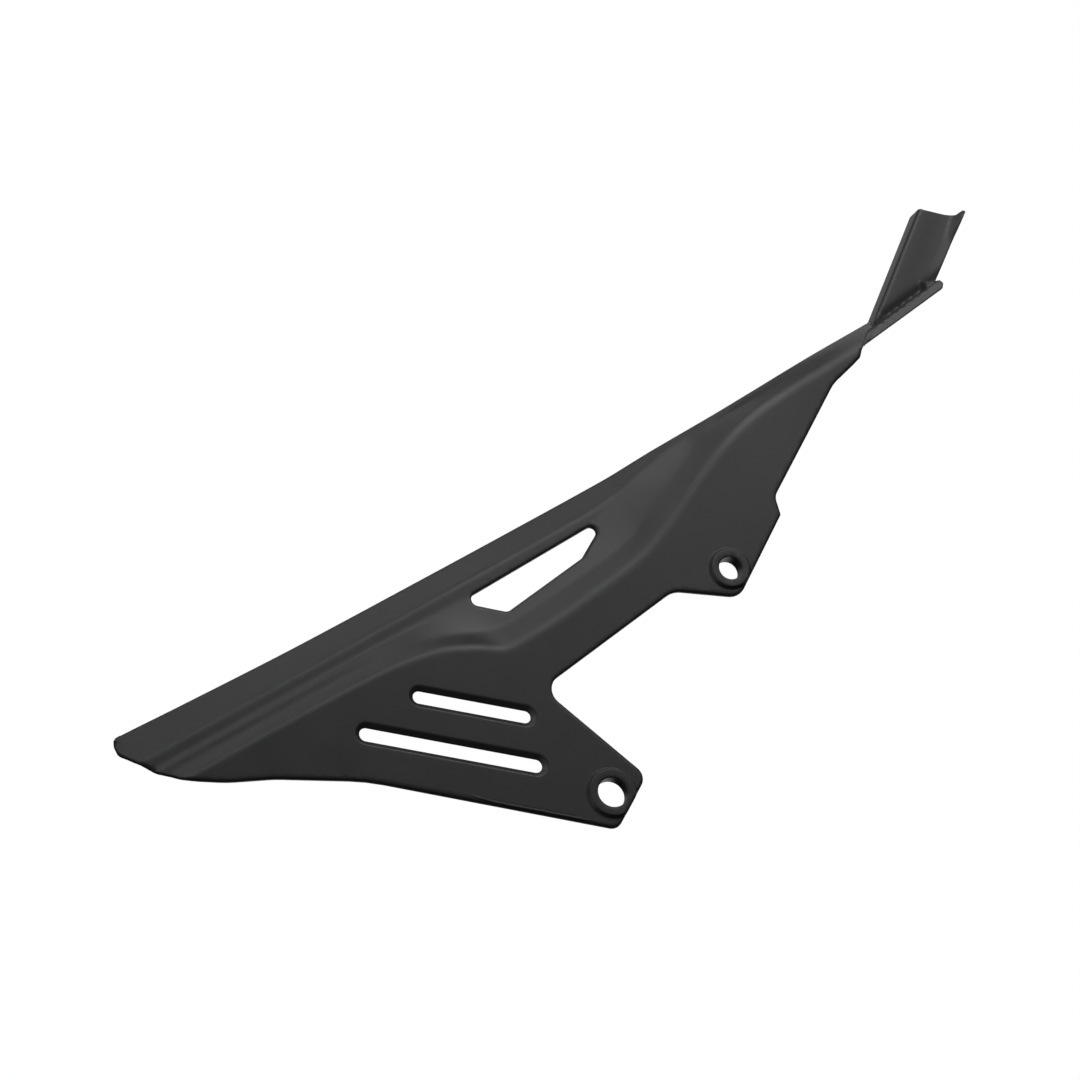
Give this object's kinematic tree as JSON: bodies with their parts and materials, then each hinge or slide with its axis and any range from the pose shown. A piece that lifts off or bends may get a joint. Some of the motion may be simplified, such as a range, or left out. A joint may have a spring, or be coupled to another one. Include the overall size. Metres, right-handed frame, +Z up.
{
  "type": "motorcycle chain guard",
  "caption": "one-piece moulded plastic guard that covers a motorcycle's upper chain run, with bolting ears, slots, a side cut-out and a channelled front horn",
  "frame": {"origin": "centre of the rear lower mounting hole, on the plane of the outer plate", "axes": "+X along the straight top edge from the pointed rear tip to the front horn, +Y inward from the outer side to the wheel, +Z up, square to the top edge"},
  "size_m": [0.4646, 0.0455, 0.1696],
  "materials": {
    "plastic": "satin, faintly textured as moulded"
  },
  "bodies": {
    "root": {"chain_guard": "plastic"}
  },
  "joints": []
}
